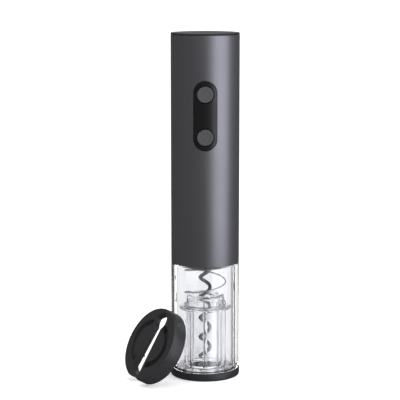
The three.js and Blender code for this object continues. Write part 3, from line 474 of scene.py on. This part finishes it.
def add_floor():
    bm = bmesh.new()
    bmesh.ops.create_grid(bm, x_segments=2, y_segments=2, size=30)
    floor = mesh_from("floor", bm)
    paper = Shader("paper", (0.93, 0.93, 0.935), 0.75)
    paper.vary_roughness(paper.noise(20, 3), 0.7, 0.8)
    paper.set("Emission Color", (1, 1, 1, 1))
    paper.set("Emission Strength", FLOOR_GLOW)
    floor.data.materials.append(paper.material)
    floor.visible_glossy = False
    floor.visible_transmission = False


def add_softbox(name, azimuth, elevation, distance, size, power):
    """A rectangular light that looks at the opener. Azimuth 0 is in front, and 90 to the camera's right."""
    light = bpy.data.objects.new(name, bpy.data.lights.new(name, "AREA"))
    bpy.context.scene.collection.objects.link(light)
    light.data.shape = "RECTANGLE"
    light.data.size, light.data.size_y = size
    light.data.energy = power
    a, e = math.radians(azimuth), math.radians(elevation)
    aim = Vector((AXIS_X, AXIS_Y, TOTAL_TOP * 0.5))
    back = Vector((math.sin(a) * math.cos(e), -math.cos(a) * math.cos(e), math.sin(e)))
    light.location = aim + back * distance
    light.rotation_mode = "QUATERNION"
    light.rotation_quaternion = back.to_track_quat("Z", "Y")
    return light


def add_world():
    """White for what is seen directly. Mirrors see a dim studio that is bright only straight behind, above
    the horizon. Clear pieces see white, and a dark card behind on the right."""
    world = bpy.data.worlds.new("studio")
    bpy.context.scene.world = world
    world.use_nodes = True
    nodes, links = world.node_tree.nodes, world.node_tree.links
    background = nodes["Background"]
    path = nodes.new("ShaderNodeLightPath")
    where = nodes.new("ShaderNodeSeparateXYZ")
    links.new(nodes.new("ShaderNodeTexCoord").outputs["Generated"], where.inputs["Vector"])

    def step(value, start, end, first, last):
        made = nodes.new("ShaderNodeMapRange")
        made.interpolation_type = "SMOOTHSTEP"
        set_range(made, start, end, first, last)
        links.new(value, made.inputs["Value"])
        return made.outputs["Result"]

    def feed(socket, value):
        if isinstance(value, float):
            socket.default_value = value
        else:
            links.new(value, socket)

    def math_node(operation, a, b):
        made = nodes.new("ShaderNodeMath")
        made.operation = operation
        feed(made.inputs[0], a)
        feed(made.inputs[1], b)
        return made.outputs["Value"]

    def choose(factor, a, b):
        made = nodes.new("ShaderNodeMix")
        links.new(factor, made.inputs["Factor"])
        feed(made.inputs["A"], a)
        feed(made.inputs["B"], b)
        return made.outputs["Result"]

    x, y, z = (where.outputs[name] for name in "XYZ")
    off_axis = math_node("ABSOLUTE", x, 0.0)
    behind = math_node("MULTIPLY", step(off_axis, 0.3, 0.45, 1.0, 0.0), step(y, 0.5, 0.7, 0.0, 1.0))
    mirrored = math_node("MULTIPLY", behind, step(z, 0.0, 0.06, 0.0, 1.0))
    mirror_level = math_node("MULTIPLY_ADD", mirrored, STUDIO_BACK)
    mirror_level.node.inputs[2].default_value = STUDIO_DIM
    card_side = math_node("MULTIPLY", step(x, 0.09, 0.17, 0.0, 1.0), step(x, 0.42, 0.58, 1.0, 0.0))
    card_hit = math_node("MULTIPLY", card_side, step(y, 0.2, 0.4, 0.0, 1.0))
    card = choose(card_hit, 1.0, CARD_DARK)
    level = choose(path.outputs["Is Glossy Ray"], 1.0, mirror_level)
    level = choose(path.outputs["Is Transmission Ray"], level, card)
    links.new(level, background.inputs["Color"])
    background.inputs["Strength"].default_value = WORLD_STRENGTH


def light_the_scene():
    add_world()
    add_softbox("key", 52, 8, 0.9, (0.95, 1.3), 8.2).data.color = (0.9, 0.9, 1.0)
    add_softbox("fill", -75, 20, 1.1, (0.5, 0.9), 1.2).visible_glossy = False
    add_softbox("top", 10, 75, 1.0, (0.8, 0.8), 3)


# ------------------------------------------------------------------ shell, cap, panel and buttons

SHELL_WALL = 1.2
SEAM = 0.3  # parting gap
PANEL = (low("button_panel"), high("button_panel"))
FLANGE = 1.5  # the panel's edge behind the shell, past its opening
PANEL_DEPTH = 2.4
PANEL_BAND = (150, 225)  # heights past both ends of the panel
PANEL_WIDTH = (PANEL[1].x - PANEL[0].x) / MM - 2 * FLANGE
PANEL_LENGTH = (PANEL[1].z - PANEL[0].z) / MM - 2 * FLANGE
PANEL_MIDDLE = (PANEL[0].z + PANEL[1].z) / 2
BUTTON_R = (high("button_up").x - low("button_up").x) / 2 / MM
BUTTON_GAP = 0.6
BUTTON_INSET = 0.15  # the face is this much smaller than the button's flange
STADIUM_STEPS = 24  # of each round end
FRONT = ON_AXIS @ Matrix.Rotation(math.radians(90), 4, "X")


def stadium(width, length):
    """A slot outline, in metres, upright about the panel's middle."""
    r = width / 2
    reach = length / 2 - r
    points = []
    for end, start in ((1, 0.0), (-1, math.pi)):
        for i in range(STADIUM_STEPS + 1):
            angle = start + math.pi * i / STADIUM_STEPS
            x, y = r * math.cos(angle), end * reach + r * math.sin(angle)
            points.append((x * MM, y * MM + PANEL_MIDDLE))
    return points


def panel_cutter(name, width, length):
    """A prism of the panel's outline through the front of the tube."""
    return prism(name, stadium(width, length), 0.5 * BODY_R, 1.2 * BODY_R, FRONT)


def body_tube():
    bottom, top = SHELL_BOTTOM / MM, SHELL_TOP / MM
    outside = BODY_R / MM
    inside = outside - SHELL_WALL
    tube = lathe(
        "body_tube",
        [(inside, bottom, 0.2), (outside, bottom, 0.35), (outside, top, 0.2), (inside, top, 0.1)],
        192,
    )
    combine(tube, panel_cutter("opening", PANEL_WIDTH, PANEL_LENGTH), "DIFFERENCE")
    bevel_edges(tube, 0.12, 50, 2)
    finish_piece(tube, "opener", ["body_shell"], "gunmetal")


def forward_disc(name, corners, height, sides=SMALL):
    """A turned piece whose axis points out of the opener's front at a height."""
    place = Matrix.Translation((AXIS_X, AXIS_Y, height)) @ Matrix.Rotation(math.radians(90), 4, "X")
    return lathe(name, corners, sides, closed=False, place=place)


def button_heights():
    return {name: (low(name).z + high(name).z) / 2 for name in ("button_up", "button_down")}


def button_panel():
    outside = BODY_R / MM
    inner = outside - PANEL_DEPTH
    bottom, top = PANEL_BAND
    band = lathe("panel_face", [(inner, bottom), (outside, bottom), (outside, top), (inner, top)], 192)
    combine(band, panel_cutter("cut", PANEL_WIDTH - 2 * SEAM, PANEL_LENGTH - 2 * SEAM), "INTERSECT")
    radius = BUTTON_R + BUTTON_GAP
    for height in button_heights().values():
        hole = forward_disc("hole", [(0, 10), (radius, 10), (radius, 30), (0, 30)], height)
        combine(band, hole, "DIFFERENCE")
    bevel_edges(band, 0.18, 50, 3)
    finish_piece(band, "opener", ["button_panel"], "panel_black")


def button(name, body):
    """A flat button with a rounded edge and a slightly dished face, on its stem."""
    face = (AXIS_Y - low(name).y) / MM
    back = (AXIS_Y - high(name).y) / MM
    dish, collar, stem = 0.12, 1.2, 1.6
    corners = [
        (0, back),
        (stem, back, 0.1),
        (stem, face - 2.4),
        (BUTTON_R, face - 2.4, 0.2),
        (BUTTON_R, face - 1.6, 0.1),
        (BUTTON_R - BUTTON_INSET, face - 1.6),
        (BUTTON_R - BUTTON_INSET, face, 0.5),
        (BUTTON_R - collar, face, 0.6),
        (BUTTON_R - collar - 0.8, face - dish, 0.6),
        (0, face - dish),
    ]
    obj = forward_disc(name + "_cap", corners, button_heights()[name], 64)
    finish_piece(obj, body, [name], "button_grey")


def top_cap():
    top = TOTAL_TOP / MM
    outside = BODY_R / MM
    skirt = outside - SHELL_WALL - SEAM
    bottom = low("top_cap").z / MM
    rim = SHELL_TOP / MM + SEAM
    corners = [
        (0, top - 3),
        (skirt - 1.5, top - 3, 0.5),
        (skirt - 1.5, bottom, 0.2),
        (skirt, bottom, 0.3),
        (skirt, rim),
        (outside, rim, 0.08),
        (outside, top, 0.5),
        (0, top),
    ]
    obj = lathe("cap", corners, 160, closed=False)
    finish_piece(obj, "battery_cap", ["top_cap"], "cap_black")


# ------------------------------------------------------------------ chamber, ring and mounting plate

CHAMBER_WALL = 3.7
TONGUE_WALL = 2.3  # the chamber's thinner foot, in the ring's groove
RING_BORE = 17.0
CUP_INSIDE = 18.5
CUP_FLOOR = 3
SINK_R, SINK_DEPTH = 2.6, 1.7  # for a mount screw's head
SCREW_HOLE_R = 1.5
CHUCK_WALL = 0.95
CHUCK_BORE = 3.3
CHUCK_CUP = 3.4


def base_ring():
    inside = BODY_R / MM - CHAMBER_WALL
    top = RING_TOP / MM
    groove = low("chamber_tube").z / MM - SEAM
    outside = RING_R / MM
    corners = [
        (RING_BORE, 0, 0.8),
        (outside - 0.1, 0, 1.0),
        (outside, top, 0.45),
        (inside + TONGUE_WALL + SEAM, top, 0.1),
        (inside + TONGUE_WALL + SEAM, groove),
        (inside - SEAM, groove),
        (inside - SEAM, top, 0.15),
        (RING_BORE, top, 0.6),
    ]
    obj = lathe("foot_ring", corners, 160)
    finish_piece(obj, "opener", ["base_ring"], "black_plastic")


def chamber():
    outside = BODY_R / MM
    inside = outside - CHAMBER_WALL
    foot = RING_TOP / MM + SEAM
    shoulder = SHELL_BOTTOM / MM - SEAM
    bottom, top = low("chamber_tube").z / MM, high("chamber_tube").z / MM
    neck = outside - SHELL_WALL - SEAM
    corners = [
        (inside, bottom, 0.2),
        (inside + TONGUE_WALL, bottom, 0.2),
        (inside + TONGUE_WALL, foot),
        (outside, foot, 0.35),
        (outside, shoulder, 0.35),
        (neck, shoulder),
        (neck, top, 0.3),
        (inside, top, 0.3),
    ]
    obj = lathe("clear_chamber", corners, 192)
    finish_piece(obj, "opener", ["chamber_tube"], "clear_plastic")


def mounting_plate():
    """The dark cup under the gearbox, seen through the chamber, with a hole through its floor and sunk holes for
    the mount screws.
    """
    cup = BODY_R / MM - CHAMBER_WALL - SEAM
    neck = BODY_R / MM - SHELL_WALL - SEAM
    bottom, top = low("mounting_plate").z / MM, high("mounting_plate").z / MM
    hole = (high("worm_chuck").x - low("worm_chuck").x) / 2 / MM + 2 * SEAM
    floor = bottom + CUP_FLOOR
    corners = [
        (hole, bottom, 0.3),
        (cup, bottom, 0.5),
        (cup, top - 2),
        (neck, top - 2, 0.2),
        (neck, top, 0.2),
        (CUP_INSIDE, top, 0.2),
        (CUP_INSIDE, floor),
        (hole, floor, 0.2),
    ]
    obj = lathe("gearbox_cup", corners, 128)
    for i in (1, 2, 3):
        centre = middle_of(f"mount_screw_{i}")
        place = Matrix.Translation((centre.x, centre.y, 0))
        combine(obj, cylinder("sink", SINK_R, bottom - 1, bottom + SINK_DEPTH, 32, place), "DIFFERENCE")
        combine(obj, cylinder("hole", SCREW_HOLE_R, bottom, floor + 1, 24, place), "DIFFERENCE")
    finish_piece(obj, "opener", ["mounting_plate"], "black_plastic")


def worm_chuck():
    lo, hi = BOX["worm_chuck"]
    outside = (hi.x - lo.x) / 2 / MM
    bottom, top = lo.z / MM, hi.z / MM
    corners = [
        (outside - CHUCK_WALL, bottom, 0.2),
        (outside, bottom, 0.35),
        (outside, top, 0.2),
        (CHUCK_BORE, top, 0.1),
        (CHUCK_BORE, bottom + CHUCK_CUP),
        (outside - CHUCK_WALL, bottom + CHUCK_CUP),
    ]
    obj = lathe("chuck", corners, 64)
    finish_piece(obj, "worm_drive", ["worm_chuck"], "zinc_steel")


# ------------------------------------------------------------------ worm and spring

WORM_HELIX = 3.5  # radius to the middle of the wire
WORM_WIRE = 1.25  # radius of the wire
WORM_PITCH = 14.2
WORM_LEFT = 69.7  # a height where the wire is at the far left
WORM_TIP_RISE = 0.6  # the wire's foot above the node's
WORM_TIP_R = 0.06
WORM_TAPER = 4.5  # height over which the tip is ground down
SPRING_WIRE = 0.45  # radius of the wire
SPRING_TURNS = 1.7  # open turns
SPRING_ENDS = 0.7  # closed turns at each end


def worm():
    """A right-hand helix of round wire, ground to a point at its foot."""
    bottom, top = low("worm").z / MM + WORM_TIP_RISE, high("worm").z / MM - WORM_WIRE
    steps = 260
    points, radii = [], []
    for i in range(steps + 1):
        z = bottom + (top - bottom) * i / steps
        angle = math.pi + 2 * math.pi * (z - WORM_LEFT) / WORM_PITCH
        points.append(Vector((WORM_HELIX * math.cos(angle), WORM_HELIX * math.sin(angle), z)) * MM)
        taper = min(1, (z - bottom) / WORM_TAPER)
        radii.append((WORM_TIP_R + (WORM_WIRE - WORM_TIP_R) * math.sin(taper * math.pi / 2) ** 0.9) * MM)
    obj = tube_along("worm_wire", points, radii, 20)
    finish_piece(obj, "worm_drive", ["worm"], "worm_steel")


def spring():
    """A compression spring with closed ends."""
    lo, hi = BOX["guide_spring"]
    radius = (hi.x - lo.x) / 2 / MM - SPRING_WIRE
    bottom, top = lo.z / MM + SPRING_WIRE, hi.z / MM - SPRING_WIRE
    turns = SPRING_TURNS + 2 * SPRING_ENDS
    rise = 2.2 * SPRING_WIRE * SPRING_ENDS
    steps = 300
    points = []
    for i in range(steps + 1):
        done = turns * i / steps
        if done < SPRING_ENDS:
            z = bottom + rise * done / SPRING_ENDS
        elif done > turns - SPRING_ENDS:
            z = top - rise * (turns - done) / SPRING_ENDS
        else:
            z = bottom + rise + (done - SPRING_ENDS) / SPRING_TURNS * (top - bottom - 2 * rise)
        angle = 2 * math.pi * (done - SPRING_ENDS)
        points.append(Vector((radius * math.cos(angle), radius * math.sin(angle), z)) * MM)
    obj = tube_along("guide_spring_wire", points, [SPRING_WIRE * MM] * len(points), 12)
    finish_piece(obj, "opener", ["guide_spring"], "spring_steel")
    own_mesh(obj)


# ------------------------------------------------------------------ cork guide

GUIDE_R = 14.0
GUIDE_WALL = 1.4
GUIDE_FOOT = 1.6
CROWN_R = 13.6
CROWN_HEIGHT = 8.4
CROWN_MOUTH = 9
CROWN_ROOF = 1.6
COLLAR_R = 18.4
COLLAR_HEIGHT = 1.4
COLLAR_HALF = 0.7
TEETH = 8
RODS = 8
ROD_R = 1.6


def cork_guide():
    """Foot, rodded tube, collar and a crown with slots between its teeth, in one clear moulding."""
    bottom, top = low("cork_guide").z / MM, high("cork_guide").z / MM
    collar_top = top - CROWN_HEIGHT
    inside = GUIDE_R - GUIDE_WALL
    foot = (high("cork_guide").x - low("cork_guide").x) / 2 / MM
    crown_in = CROWN_R - GUIDE_WALL
    corners = [
        (inside, bottom, 0.4),
        (foot, bottom, 0.3),
        (foot, bottom + GUIDE_FOOT, 0.5),
        (GUIDE_R, bottom + GUIDE_FOOT, 1.0),
        (GUIDE_R, collar_top - COLLAR_HEIGHT, 0.5),
        (COLLAR_R, collar_top - COLLAR_HEIGHT, 0.4),
        (COLLAR_R, collar_top, 0.5),
        (CROWN_R, collar_top, 0.4),
        (CROWN_R, top, 2.8),
        (CROWN_MOUTH, top, 0.4),
        (CROWN_MOUTH, top - CROWN_ROOF, 0.4),
        (crown_in, top - CROWN_ROOF, 1.2),
        (crown_in, collar_top - COLLAR_HALF),
        (inside, collar_top - COLLAR_HALF),
    ]
    guide = lathe("clear_guide", corners, 128)
    rod_top = collar_top - COLLAR_HALF
    for i in range(RODS):
        place = (
            ON_AXIS
            @ Matrix.Rotation(2 * math.pi * i / RODS, 4, "Z")
            @ Matrix.Translation((0, -(GUIDE_R - GUIDE_WALL / 2) * MM, 0))
        )
        combine(guide, cylinder("rod", ROD_R, bottom + 0.2, rod_top, 20, place), "UNION")
    slot_bottom, slot_top = collar_top + 2.6, top - 1.2
    for i in range(TEETH):
        place = ON_AXIS @ Matrix.Rotation(2 * math.pi * (i + 0.5) / TEETH, 4, "Z")
        reach = [(-0.75, 11), (0.75, 11), (0.75, 16), (-0.75, 16)]
        outline = [(x * MM, y * MM) for x, y in reach]
        combine(guide, prism("slot", outline, slot_bottom * MM, slot_top * MM, place), "DIFFERENCE")
    bevel_edges(guide, 0.15, 50, 2)
    finish_piece(guide, "sprung_guide", ["cork_guide"], "clear_guide")


# ------------------------------------------------------------------ foil cutter

CUTTER_R = 26.8
CUTTER_T = 10.7
CUTTER_FLOOR = 4.5
CUTTER_BORE = 17.0
END_R = 24.0
LAND_LENGTH = 22.4
PAD_R = 12.1
GROOVE_R = 16.7
PAD_OFFSET = 4.9
GROOVE_DEPTH = 3.0
GROOVE_START = 7.2  # from the slit's middle
RELIEF_R = 6.3
WEB = 3.0
SLIT_TOP, SLIT_END, SLIT_MOUTH = 8.2, 10.4, 10.8
WHEELS = (1, 2, 3, 4)
WHEEL_DEPTH = 7.4  # from the cutter's face to each wheel's middle
WHEEL_POCKET = 4.5
WHEEL_POCKET_HALF = 0.75  # of its thickness
PIN_HOLE_R = 1.1
PIN_HOLE_RISE = 2.3  # past each wheel's middle, towards the face


def cutter_frame():
    """The cutter's own frame: its face is z = 0 and looks along +Z, and the slit runs along Y."""
    normal = Vector(JOINTS["cutter_squeeze"]["axis"]) * -1
    web = Vector(JOINTS["cutter_squeeze"]["pos_m"])
    wheels = [middle_of(f"cutting_wheel_{i}") for i in WHEELS]
    middle = sum(wheels, Vector()) / 4 + normal * WHEEL_DEPTH * MM
    up = (web - middle).normalized()
    across = up.cross(normal)
    return Matrix.Translation(middle) @ Matrix((across, up, normal)).transposed().to_4x4()


CUTTER = cutter_frame()


def cutter_disc(name, radius, bottom, top, x=0.0, y=0.0, sides=96):
    return cylinder(name, radius, bottom, top, sides, Matrix.Translation((x * MM, y * MM, 0)))


def slit_outline():
    top = CUTTER_R - WEB - RELIEF_R
    end = -(PAD_R + PAD_OFFSET) + 1
    beyond = -CUTTER_R - 2
    mouth = SLIT_MOUTH / 2
    right = [(SLIT_TOP / 2, top), (SLIT_END / 2, end), (mouth, end - 0.5), (mouth, beyond)]
    left = [(-x, y) for x, y in reversed(right)]
    return [(x * MM, y * MM) for x, y in left + right]


def groove(side):
    """The groove round one pad. Its outer wall slopes, so a fingertip finds the pad."""
    corners = [(PAD_R, 1), (PAD_R, -GROOVE_DEPTH, 0.9), (GROOVE_R - 1.2, -GROOVE_DEPTH, 1.2), (GROOVE_R, 1)]
    band = lathe("groove", corners, 96, True, Matrix.Identity(4))
    start, reach = side * (GROOVE_START - PAD_OFFSET), GROOVE_R + 2
    keep = [(start, -reach), (side * reach, -reach), (side * reach, reach), (start, reach)]
    outline = [(x * MM, y * MM) for x, y in (keep if side > 0 else keep[::-1])]
    combine(band, prism("keep", outline, -8 * MM, 8 * MM), "INTERSECT")
    band.data.transform(Matrix.Translation((side * PAD_OFFSET * MM, 0, 0)))
    return band


def foil_cutter():
    """One moulding for both halves, with a web beyond the slit's round end. Here the halves do not bend."""
    back = -CUTTER_T
    corners = [
        (0, back),
        (CUTTER_R, back, 0.9),
        (CUTTER_R, -2.2, 0.8),
        (CUTTER_R - 0.35, -1.6, 0.5),
        (CUTTER_R - 0.35, 0, 1.1),
        (0, 0),
    ]
    disc = lathe("foil_cutter_body", corners, 160, False, Matrix.Identity(4))
    combine(disc, cutter_disc("bore", CUTTER_BORE, back - 1, -CUTTER_FLOOR), "DIFFERENCE")
    ends = cutter_disc("ends", END_R, back - 1, -CUTTER_FLOOR)
    w, h = 30 * MM, LAND_LENGTH / 2 * MM
    combine(ends, prism("lands", [(-w, -h), (w, -h), (w, h), (-w, h)], -20 * MM, 5 * MM), "DIFFERENCE")
    combine(disc, ends, "DIFFERENCE")
    relief_y = CUTTER_R - WEB - RELIEF_R
    combine(disc, cutter_disc("relief", RELIEF_R, back - 1, 2, 0, relief_y, 64), "DIFFERENCE")
    combine(disc, prism("slit", slit_outline(), (back - 1) * MM, 2 * MM), "DIFFERENCE")
    for side in (-1, 1):
        combine(disc, groove(side), "DIFFERENCE")
    to_local = CUTTER.inverted()
    for i in WHEELS:
        centre = to_local @ middle_of(f"cutting_wheel_{i}")
        x, y = centre.x / MM, centre.y / MM
        low_side, high_side = -WHEEL_DEPTH - WHEEL_POCKET_HALF, -WHEEL_DEPTH + WHEEL_POCKET_HALF
        combine(disc, cutter_disc("pocket", WHEEL_POCKET, low_side, high_side, x, y, 48), "DIFFERENCE")
        pin_top = -WHEEL_DEPTH + PIN_HOLE_RISE
        combine(disc, cutter_disc("pin_hole", PIN_HOLE_R, back - 1, pin_top, x, y, 24), "DIFFERENCE")
    bevel_edges(disc, 0.22, 40, 3)
    disc.data.transform(CUTTER)
    finish_piece(disc, None, ["cutter_half_left", "cutter_half_right"], "cutter_black")
    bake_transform(disc)


def cutting_wheel(i):
    """A thin ground wheel with a bevelled cutting edge and a hub."""
    place = Matrix.Translation(middle_of(f"cutting_wheel_{i}")) @ CUTTER.to_3x3().to_4x4()
    corners = [
        (1.1, -0.45, 0.05),
        (1.9, -0.45, 0.1),
        (2.3, -0.15),
        (3.7, -0.15),
        (4.2, 0),
        (3.7, 0.15),
        (2.3, 0.15),
        (1.9, 0.45, 0.1),
        (1.1, 0.45, 0.05),
    ]
    obj = lathe(f"blade_wheel_{i}", corners, 64, True, place)
    finish_piece(obj, f"blade_{i}", [f"cutting_wheel_{i}"], "wheel_steel")


# ------------------------------------------------------------------ the model

add_camera()
add_floor()
light_the_scene()
bpy.context.scene.view_settings.view_transform = "Standard"

body_tube()
button_panel()
button("button_up", "up_button")
button("button_down", "down_button")
top_cap()
base_ring()
chamber()
mounting_plate()
worm_chuck()
worm()
spring()
cork_guide()
foil_cutter()
for wheel in WHEELS:
    cutting_wheel(wheel)
dress_cad_nodes()
